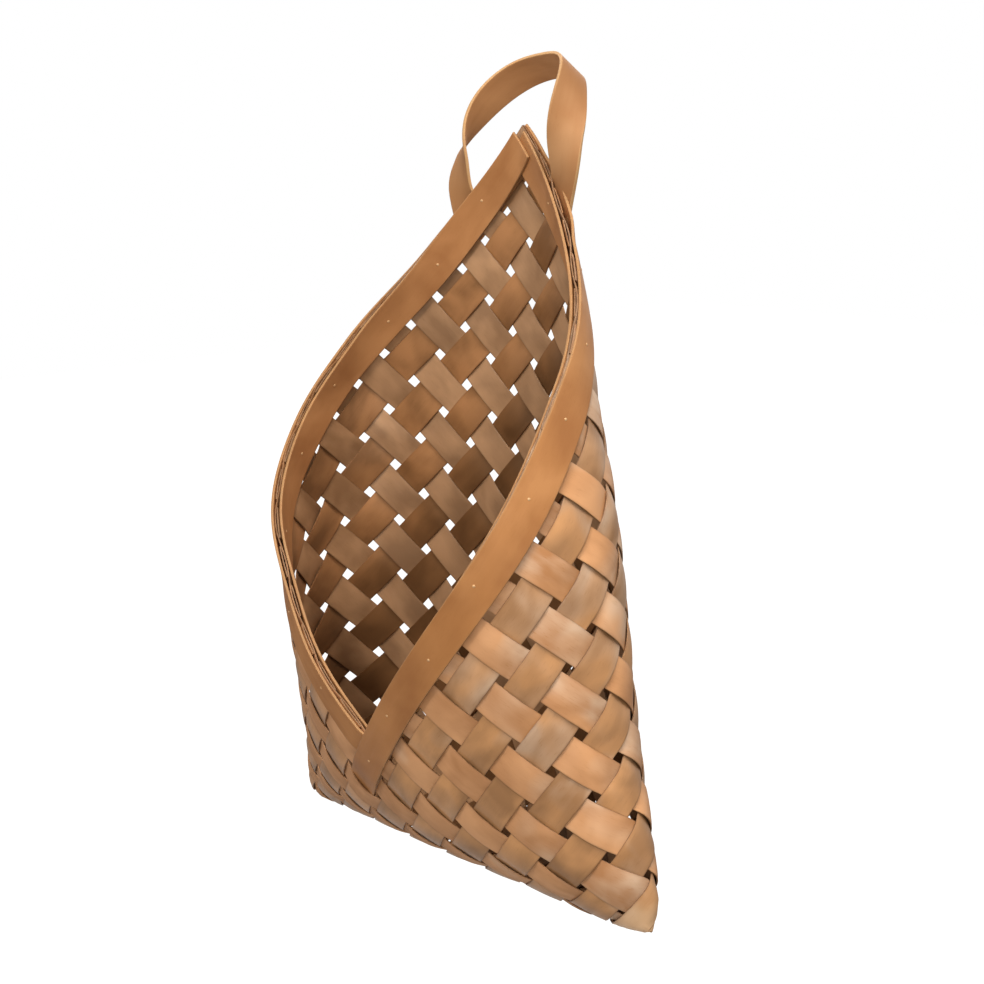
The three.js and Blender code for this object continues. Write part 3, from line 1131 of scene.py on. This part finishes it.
@dataclass
class RimBands:
    """Four flat bands that clamp the splint ends along both rims."""

    form: BagForm
    strips: StripTree
    width: float = 20.0
    thick: float = 1.6
    offset: float = 2.65
    leg_bump: float = 1.7
    bump_tilt: float = 0.4
    end_lift: float = 1.75
    end_stop: float = -0.68
    left_leg: float = 2.37
    right_leg: float = 1.79
    peak_butt: float = -0.06
    crossing_butt: float = 17.04
    under_run: float = 0.5
    under_drop: float = 1.5
    tail_end: float = 19.42
    tail_offset: float = 0.95
    tail_sink: tuple[float, float] = (18.1, 19.1)
    tail_thin: tuple[float, float] = (18.3, 19.1)
    tail_loss: float = 0.45
    outer_start: float = -0.9
    inner_end: float = 17.9
    end_fade: tuple[float, float] = (-0.2, 1.6)
    bump_start: tuple[float, float] = (-1.8, -1.0)
    bump_stop: tuple[float, float] = (0.25, 1.0)
    under_ramp: tuple[float, float] = (-0.15, 0.2)
    row_step: float = 0.1
    flat_lines: tuple[float, ...] = (-7.0, -3.5, 0.0, 3.5, 7.0)
    grain_start: float = 3.0
    grain_gap: float = 0.067
    profile: EdgeProfile = field(default_factory=EdgeProfile)

    def lattice(self, rim: Rim, stop: np.ndarray, across: np.ndarray) -> tuple[np.ndarray, np.ndarray]:
        """Lattice place of a band point from its stop along the rim and its place across."""
        line = -0.5 + across / self.form.pitch
        return (stop, line) if rim is Rim.LEFT else (line, stop)

    def height(self, rim: Rim, face: Face, stop: np.ndarray, across: np.ndarray) -> np.ndarray:
        """Signed height of a band's middle off the wall.

        Args:
            rim: Which rim.
            face: Which face of the wall.
            stop: Lattice stops along the rim.
            across: Places across the band in millimetres.

        Returns:
            Heights in millimetres.
        """
        if face is Face.INNER:
            over = self.end_lift * (1.0 - ease(stop, *self.end_fade)) if rim is Rim.LEFT else 0.0
            return -self.offset - over + 0.0 * stop
        leg = self.left_leg if rim is Rim.LEFT else self.right_leg
        bump = ease(stop - leg, *self.bump_start) * (1.0 - ease(stop - leg, *self.bump_stop))
        high = self.offset + self.leg_bump * bump * (1.0 - self.bump_tilt * across / self.width)
        if rim is Rim.RIGHT:
            return high - (self.offset - self.tail_offset) * ease(stop, *self.tail_sink)
        return high - self.under_drop * ease(stop - self.crossing_butt, *self.under_ramp)

    def _sheet(self, rim: Rim, face: Face, start: float, end: float, seat: np.ndarray) -> Sheet:
        """Ruled sheet of one band.

        Args:
            rim: Which rim it runs along.
            face: Which face of the wall it lies on.
            start: First lattice stop.
            end: Last lattice stop.
            seat: Hang seat in bag coordinates.

        Returns:
            The sheet.
        """
        form = self.form
        inner = np.arange(start, end, self.row_step) * form.pitch
        rows, columns, girth, edge = self.profile.grid(
            start * form.pitch, end * form.pitch, inner, self.width, self.flat_lines)
        stop = rows[:, None] / form.pitch + 0.0 * columns
        across = columns + 0.0 * stop
        k, r = self.lattice(rim, stop, across)
        if rim is Rim.RIGHT and face is Face.OUTER:
            girth = girth * (1.0 - self.tail_loss * ease(stop, *self.tail_thin))
        index = 2 * list(Rim).index(rim) + list(Face).index(face)
        return Sheet(
            places=(form.wall(k, r) - seat) * MM,
            outward=form.outward(k, r),
            lift=self.height(rim, face, stop, across) / self.offset,
            girth=girth,
            edge=edge,
            along=rows[:, None] * MM + 0.0 * across,
            across=across * MM + self.grain_start + self.grain_gap * index,
        )

    def build(self, seat: np.ndarray, finish: bpy.types.Material) -> list[bpy.types.Object]:
        """Build the bands in place of their plain solids.

        Args:
            seat: Hang seat in bag coordinates.
            finish: Their wood.

        Returns:
            The bands.
        """
        runs = ((Rim.RIGHT, Face.OUTER, self.outer_start, self.tail_end),
                (Rim.LEFT, Face.OUTER, self.peak_butt, self.crossing_butt + self.under_run),
                (Rim.LEFT, Face.INNER, self.end_stop, self.crossing_butt),
                (Rim.RIGHT, Face.INNER, self.end_stop, self.inner_end))
        made = []
        for rim, face, start, end in runs:
            node = f"rim_{rim.value}_{face.name.lower()}"
            sheet = self._sheet(rim, face, start, end, seat)
            piece = self.strips.make(node + "_wood", sheet, self.offset, self.thick, finish)
            dress(piece, "rim_wood", node)
            made.append(piece)
        return made


class TackTree(PieceTree):
    """Tree that sets a small domed head on every point."""

    def __init__(self) -> None:
        """Make the nodes."""
        super().__init__("tack_heads", "Radius", "Dome")
        tree = self.tree
        head = add_node(tree, "GeometryNodeMeshUVSphere")
        set_inputs(head, Segments=14, Rings=8, Radius=self.given["Radius"])
        turn = add_node(tree, "FunctionNodeAlignRotationToVector", axis="Z")
        set_inputs(turn, Vector=self._read("outward", "FLOAT_VECTOR"))
        flat = add_node(tree, "ShaderNodeCombineXYZ", 1.0, 1.0, self.given["Dome"])
        place = add_node(tree, "GeometryNodeInstanceOnPoints", self.given["Mesh"])
        set_inputs(place, Instance=head.outputs["Mesh"], Rotation=turn.outputs[0], Scale=flat.outputs[0])
        self._finish(place)


@dataclass
class Tacks:
    """Small pale tack heads in a row along each rim band."""

    bands: RimBands
    first: float = 1.25
    spacing: float = 2.06
    count: int = 9
    radius: float = 0.85
    dome: float = 0.35
    jitter: float = 0.1
    off_line: tuple[float, float] = (-2.6, 0.6)
    end_gap: float = 0.5
    tail_reach: float = 1.2
    seed: int = 5

    @staticmethod
    def material() -> bpy.types.Material:
        """Build the dull pale metal of the heads.

        Returns:
            The material.
        """
        made = bpy.data.materials.new("tack_head")
        made.use_nodes = True
        set_inputs(made.node_tree.nodes["Principled BSDF"], Base_Color=(*srgb(206, 162, 112), 1.0),
                   Roughness=0.45, Metallic=0.25)
        return made

    def build(self, seat: np.ndarray) -> bpy.types.Object:
        """Set the heads on all four bands.

        Args:
            seat: Hang seat in bag coordinates.

        Returns:
            One piece with every head.
        """
        bands = self.bands
        form = bands.form
        random = np.random.default_rng(self.seed)
        places = []
        facing = []
        for rim in Rim:
            for face in Face:
                stop = self.first + self.spacing * np.arange(self.count)
                stop = stop + random.uniform(-self.jitter, self.jitter, self.count)
                on_tail = rim is Rim.RIGHT and face is Face.OUTER
                last = bands.crossing_butt + (self.tail_reach if on_tail else -self.end_gap)
                stop = stop[stop < last]
                across = random.uniform(*self.off_line, len(stop))
                k, r = bands.lattice(rim, stop, across)
                outward = form.outward(k, r)
                skin = bands.height(rim, face, stop, across) + face.value * bands.thick / 2
                places.append(form.wall(k, r) + outward * skin[:, None] - seat)
                facing.append(outward * face.value)
        mesh = bpy.data.meshes.new("tack_points")
        mesh.from_pydata(np.concatenate(places) * MM, [], [])
        layer = mesh.attributes.new("outward", "FLOAT_VECTOR", "POINT")
        layer.data.foreach_set("vector", np.concatenate(facing).astype(np.float32).ravel())
        piece = TackTree().run("rim_tacks", mesh, self.material(),
                               Radius=self.radius * MM, Dome=self.dome)
        dress(piece, "rim_wood")
        return piece


@dataclass
class StrapHandle:
    """Bent wood strap: a slanted leg under each outer band, a quarter twist, and a free arch."""

    form: BagForm
    strips: StripTree
    width: float = 21.5
    thick: float = 2.0
    offset: float = 2.65
    left_leg: float = 2.37
    right_leg: float = 1.79
    leg_rows: tuple[tuple[float, float], ...] = ((-11.0, 1.0), (-3.0, 1.0))
    leg_lift: float = 26.0
    arch_rise: float = 65.0
    out_power: float = 0.71
    up_power: float = 0.7
    arch_back: float = 30.5
    back_power: float = 2.65
    arch_steps: int = 28
    apex_tilt: float = 37.0
    leg_shift: float = 0.5
    twist_start: float = 0.12
    twist_power: float = 2.74
    tangent_step: float = 0.02
    finer: int = 6
    flat_lines: tuple[float, ...] = (-7.0, -3.5, 0.0, 3.5, 7.0)
    grain_start: float = 5.0
    profile: EdgeProfile = field(default_factory=EdgeProfile)

    def _on_wall(self, k: float, r: float) -> np.ndarray:
        """Strap centre at a lattice place of the wall, in bag coordinates."""
        place = np.array(k), np.array(r)
        return self.form.wall(*place) + self.offset * self.form.outward(*place)

    @cached_property
    def leg_tops(self) -> tuple[np.ndarray, np.ndarray]:
        """Middle of each leg where it crosses the rim band, left and right."""
        return self._on_wall(self.left_leg, -0.5), self._on_wall(-0.5, self.right_leg)

    @property
    def apex_wide(self) -> np.ndarray:
        """Width direction at the top of the arch, towards the front edge."""
        tilt = math.radians(self.apex_tilt)
        return np.array([0.0, -math.cos(tilt), math.sin(tilt)])

    def seat(self) -> np.ndarray:
        """Middle of the arch's underside, the origin of the basket."""
        tilt = math.radians(self.apex_tilt)
        return self._arch(0.0) - self.thick / 2 * np.array([0.0, math.sin(tilt), math.cos(tilt)])

    def _arch(self, u: float) -> np.ndarray:
        """Find a point on the centre line of the free arch.

        Args:
            u: Place along it, from -1 at the left leg to 1 at the right leg.

        Returns:
            The point in bag coordinates.
        """
        turn = min(abs(u), 1.0) * math.pi / 2
        out = float(np.sign(u)) * math.sin(turn) ** self.out_power
        up = max(math.cos(turn), 0.0) ** self.up_power
        left, right = self.leg_tops
        point = left * (1 - out) / 2 + right * (1 + out) / 2
        return point + np.array([0.0, self.arch_back * up ** self.back_power,
                                 self.leg_lift + self.arch_rise * up])

    def _keys(self) -> tuple[np.ndarray, np.ndarray]:
        """Key points of the strap's two edges, from the left leg over to the right leg.

        Returns:
            Points of one edge and of the other.
        """
        form = self.form
        one: list[np.ndarray] = []
        two: list[np.ndarray] = []
        half = self.width / 2

        def leg_edge(side: int, row: tuple[float, float], inward: float) -> np.ndarray:
            """Find a point of a leg's edge on the wall.

            Args:
                side: -1 for the left leg, 1 for the right one.
                row: Height of the row against the rim, and its slope across the leg.
                inward: Distance from the leg's middle towards the back centre.

            Returns:
                The point in bag coordinates.
            """
            place = (self.left_leg if side < 0 else self.right_leg) - self.leg_shift
            around = (place + 0.5) * form.step - inward
            up = (form.fold_sum - place + 0.5) * form.step + row[0] + inward * row[1]
            down = (form.fold_sum - (up - around) / form.step) / 2
            over = (form.fold_sum - (up + around) / form.step) / 2
            return self._on_wall(down, over) if side < 0 else self._on_wall(over, down)

        for row in self.leg_rows:
            one.append(leg_edge(-1, row, half))
            two.append(leg_edge(-1, row, -half))
        for i in range(self.arch_steps + 1):
            step = -1 + 2 * i / self.arch_steps
            u = math.copysign(abs(step) ** (1 / self.out_power), step)
            centre = self._arch(u)
            turned = max(0.0, (abs(u) - self.twist_start) / (1 - self.twist_start))
            twist = turned ** self.twist_power * math.pi / 2
            ahead = self._arch(min(1.0, u + self.tangent_step))
            tangent = ahead - self._arch(max(-1.0, u - self.tangent_step))
            tangent = tangent / np.linalg.norm(tangent)
            wide = self.apex_wide * math.cos(twist) - np.array([np.sign(u) * math.sin(twist), 0.0, 0.0])
            wide = wide - np.dot(wide, tangent) * tangent
            wide = wide / np.linalg.norm(wide) * half
            one.append(centre + wide)
            two.append(centre - wide)
        for row in reversed(self.leg_rows):
            one.append(leg_edge(1, row, half))
            two.append(leg_edge(1, row, -half))
        return np.array(one), np.array(two)

    def _finer(self, keys: np.ndarray) -> np.ndarray:
        """Smooth curve through the key points, by Catmull and Rom's rule.

        Args:
            keys: Key points.

        Returns:
            Many points on the curve.
        """
        padded = np.concatenate([2 * keys[:1] - keys[1:2], keys, 2 * keys[-1:] - keys[-2:-1]])
        points = []
        for i in range(1, len(padded) - 2):
            a, b, c, d = padded[i - 1:i + 3]
            for j in range(self.finer):
                t = j / self.finer
                points.append(0.5 * (2 * b + (c - a) * t + (2 * a - 5 * b + 4 * c - d) * t * t
                                     + (3 * b - a - 3 * c + d) * t ** 3))
        points.append(keys[-1])
        return np.array(points)

    def _sheet(self, seat: np.ndarray) -> Sheet:
        """Ruled sheet of the strap.

        Args:
            seat: Hang seat in bag coordinates.

        Returns:
            The sheet.
        """
        edge_one, edge_two = (self._finer(keys) for keys in self._keys())
        middle = (edge_one + edge_two) / 2
        run = np.concatenate([[0.0], np.cumsum(np.linalg.norm(np.diff(middle, axis=0), axis=1))])
        rows, columns, girth, edge = self.profile.grid(0.0, run[-1], run, self.width, self.flat_lines)

        def read(curve: np.ndarray) -> np.ndarray:
            """Curve read at the stations."""
            return np.stack([np.interp(rows, run, curve[:, axis]) for axis in range(3)], axis=-1)

        one, two = read(edge_one), read(edge_two)
        share = (columns / (self.width / 2) + 1) / 2
        places = one[:, None, :] * (1 - share)[None, :, None] + two[:, None, :] * share[None, :, None]
        tangent = read(np.gradient(middle, run, axis=0))
        normal = np.cross(tangent, two - one)
        normal /= np.linalg.norm(normal, axis=1, keepdims=True)
        if normal[len(rows) // 2, 2] < 0:
            normal = -normal
        return Sheet(
            places=(places - seat) * MM,
            outward=np.repeat(normal[:, None, :], len(columns), axis=1),
            lift=0.0 * girth,
            girth=girth,
            edge=edge,
            along=rows[:, None] * MM + 0.0 * columns,
            across=columns * MM + self.grain_start + 0.0 * rows[:, None],
        )

    def build(self, seat: np.ndarray, finish: bpy.types.Material) -> bpy.types.Object:
        """Build the strap in place of its plain solid.

        Args:
            seat: Hang seat in bag coordinates.
            finish: Its wood.

        Returns:
            The strap.
        """
        sheet = self._sheet(seat)
        piece = self.strips.make("handle_strap_wood", sheet, rise=1.0, thick=self.thick, finish=finish)
        dress(piece, "handle_wood", "handle_strap")
        return piece


@dataclass(frozen=True)
class Lamp:
    """Soft square lamp that faces the basket, by its direction in degrees, size and power."""

    name: str
    azimuth: float
    elevation: float
    size: float
    power: float


@dataclass(frozen=True)
class Studio:
    """Camera, lamps, floor and world of the picture."""

    azimuth: float = 50.92
    elevation: float = 11.13
    roll: float = -1.44
    distance: float = 1.1445
    look_at: tuple[float, float, float] = (13.34, 15.51, 220.25)
    view_angle: float = 27.66
    sensor: float = 36.0
    near_clip: float = 0.01
    lamps: tuple[Lamp, ...] = (
        Lamp("key", azimuth=80.0, elevation=66.0, size=1.0, power=30.0),
        Lamp("front", azimuth=18.0, elevation=44.0, size=0.5, power=14.0),
        Lamp("window", azimuth=46.0, elevation=9.0, size=0.3, power=8.0),
        Lamp("back", azimuth=236.0, elevation=34.0, size=1.2, power=12.0),
    )
    lamp_distance: float = 1.8
    lamp_aim: tuple[float, float, float] = (0.0, -0.05, -0.24)
    floor_reach: float = 12.0
    floor_grey: float = 0.6
    floor_glow: float = 0.85
    floor_drop: float = 1.4
    bright_side: tuple[float, float] = (56.0, 45.0)
    bright: float = 0.5
    dim: float = 0.2
    ambient_tint: tuple[float, float, float, float] = (1.0, 0.99, 0.97, 1.0)

    @staticmethod
    def direction(azimuth: float, elevation: float) -> Vector:
        """Unit vector from the basket towards an azimuth and elevation in degrees."""
        a, e = math.radians(azimuth), math.radians(elevation)
        return Vector((math.sin(a) * math.cos(e), -math.cos(a) * math.cos(e), math.sin(e)))

    def camera(self, seat: np.ndarray) -> None:
        """Place the camera at the photograph's viewing angle.

        Args:
            seat: Hang seat in bag coordinates.
        """
        data = bpy.data.cameras.new("view")
        data.sensor_width = self.sensor
        data.lens = self.sensor / 2 / math.tan(math.radians(self.view_angle) / 2)
        data.clip_start = self.near_clip
        camera = bpy.data.objects.new("view", data)
        back = self.direction(self.azimuth, self.elevation)
        centre = Vector((np.array(self.look_at) - seat) * MM)
        camera.location = centre + back * self.distance
        turn, roll = math.radians(self.azimuth), math.radians(self.roll)
        right = Vector((math.cos(turn), math.sin(turn), 0.0))
        up = back.cross(right)
        across = math.cos(roll) * right + math.sin(roll) * up
        above = math.cos(roll) * up - math.sin(roll) * right
        camera.rotation_euler = Matrix((across, above, back)).transposed().to_euler()
        bpy.context.scene.collection.objects.link(camera)
        bpy.context.scene.camera = camera

    def hang(self, lamp: Lamp) -> None:
        """Hang one lamp, facing the basket.

        Args:
            lamp: Its direction, size and power.
        """
        data = bpy.data.lights.new(lamp.name, "AREA")
        data.size = lamp.size
        data.energy = lamp.power
        made = bpy.data.objects.new(lamp.name, data)
        back = self.direction(lamp.azimuth, lamp.elevation)
        made.location = Vector(self.lamp_aim) + back * self.lamp_distance
        made.rotation_euler = back.to_track_quat("Z", "Y").to_euler()
        bpy.context.scene.collection.objects.link(made)

    def world(self) -> None:
        """Even pale light, shown as white where the camera or a reflection sees it."""
        world = bpy.data.worlds.new("studio")
        bpy.context.scene.world = world
        world.use_nodes = True
        tree = world.node_tree
        tree.nodes.clear()
        rays = add_node(tree, "ShaderNodeLightPath").outputs
        shown = rays["Is Camera Ray"]
        for label in ("Is Glossy Ray", "Is Transmission Ray"):
            shown = combine(tree, "MAXIMUM", shown, rays[label])
        view = add_node(tree, "ShaderNodeTexCoord").outputs["Generated"]
        side = dot(tree, view, self.direction(*self.bright_side))
        level = ramp(tree, side, span=(-1.0, 1.0), result=(self.dim, self.bright))
        ambient = add_node(tree, "ShaderNodeBackground")
        set_inputs(ambient, Color=self.ambient_tint, Strength=level)
        white = add_node(tree, "ShaderNodeBackground")
        set_inputs(white, Color=(1.0, 1.0, 1.0, 1.0), Strength=1.0)
        mixed = add_node(tree, "ShaderNodeMixShader", shown, ambient.outputs[0], white.outputs[0])
        add_node(tree, "ShaderNodeOutputWorld", mixed.outputs[0])

    def floor(self) -> None:
        """Pale floor well below the hanging basket, with its faint shadow."""
        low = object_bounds()[0].z - self.floor_drop
        mesh = bpy.data.meshes.new("floor")
        reach = self.floor_reach
        square = ((-reach, -reach), (reach, -reach), (reach, reach), (-reach, reach))
        corners = [(x, y, low) for x, y in square]
        mesh.from_pydata(corners, [], [(0, 1, 2, 3)])
        floor = bpy.data.objects.new("floor", mesh)
        bpy.context.scene.collection.objects.link(floor)
        paper = bpy.data.materials.new("floor_paper")
        paper.use_nodes = True
        tree = paper.node_tree
        shader = tree.nodes["Principled BSDF"]
        grey = (self.floor_grey, self.floor_grey, self.floor_grey, 1.0)
        set_inputs(shader, Base_Color=grey, Roughness=0.9, Specular_IOR_Level=0.0)
        seen = add_node(tree, "ShaderNodeLightPath").outputs["Is Camera Ray"]
        glow = add_node(tree, "ShaderNodeEmission")
        set_inputs(glow, Strength=self.floor_glow)
        added = add_node(tree, "ShaderNodeAddShader", shader.outputs[0], glow.outputs[0])
        mixed = add_node(tree, "ShaderNodeMixShader", seen, shader.outputs[0], added.outputs[0])
        set_inputs(tree.nodes["Material Output"], Surface=mixed.outputs[0])
        mesh.materials.append(paper)
        floor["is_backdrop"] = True

    def build(self, seat: np.ndarray) -> None:
        """Set up the whole studio.

        Args:
            seat: Hang seat in bag coordinates.
        """
        bpy.context.scene.view_settings.view_transform = "Standard"
        self.camera(seat)
        self.world()
        self.floor()
        for lamp in self.lamps:
            self.hang(lamp)


def main() -> None:
    """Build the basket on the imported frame, then the studio."""
    logging.basicConfig(level=logging.INFO, format="%(name)s: %(message)s")
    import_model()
    form = BagForm()
    strips = StripTree()
    groups = GrainGroups()
    handle = StrapHandle(form, strips)
    seat = handle.seat()
    LOG.info("seat in bag coordinates %s", np.round(seat, 2))
    brown, tan, rim, strap = (finish.material(groups)
                              for finish in (BROWN_SPLINT, TAN_SPLINT, RIM_WOOD, STRAP_WOOD))
    bands = RimBands(form, strips)
    pieces = Weave(form, strips).build(seat, brown, tan)
    pieces += bands.build(seat, rim)
    pieces.append(Tacks(bands).build(seat))
    pieces.append(handle.build(seat, strap))
    LOG.info("%d pieces built", len(pieces))
    Studio().build(seat)


if __name__ == "__main__":
    main()
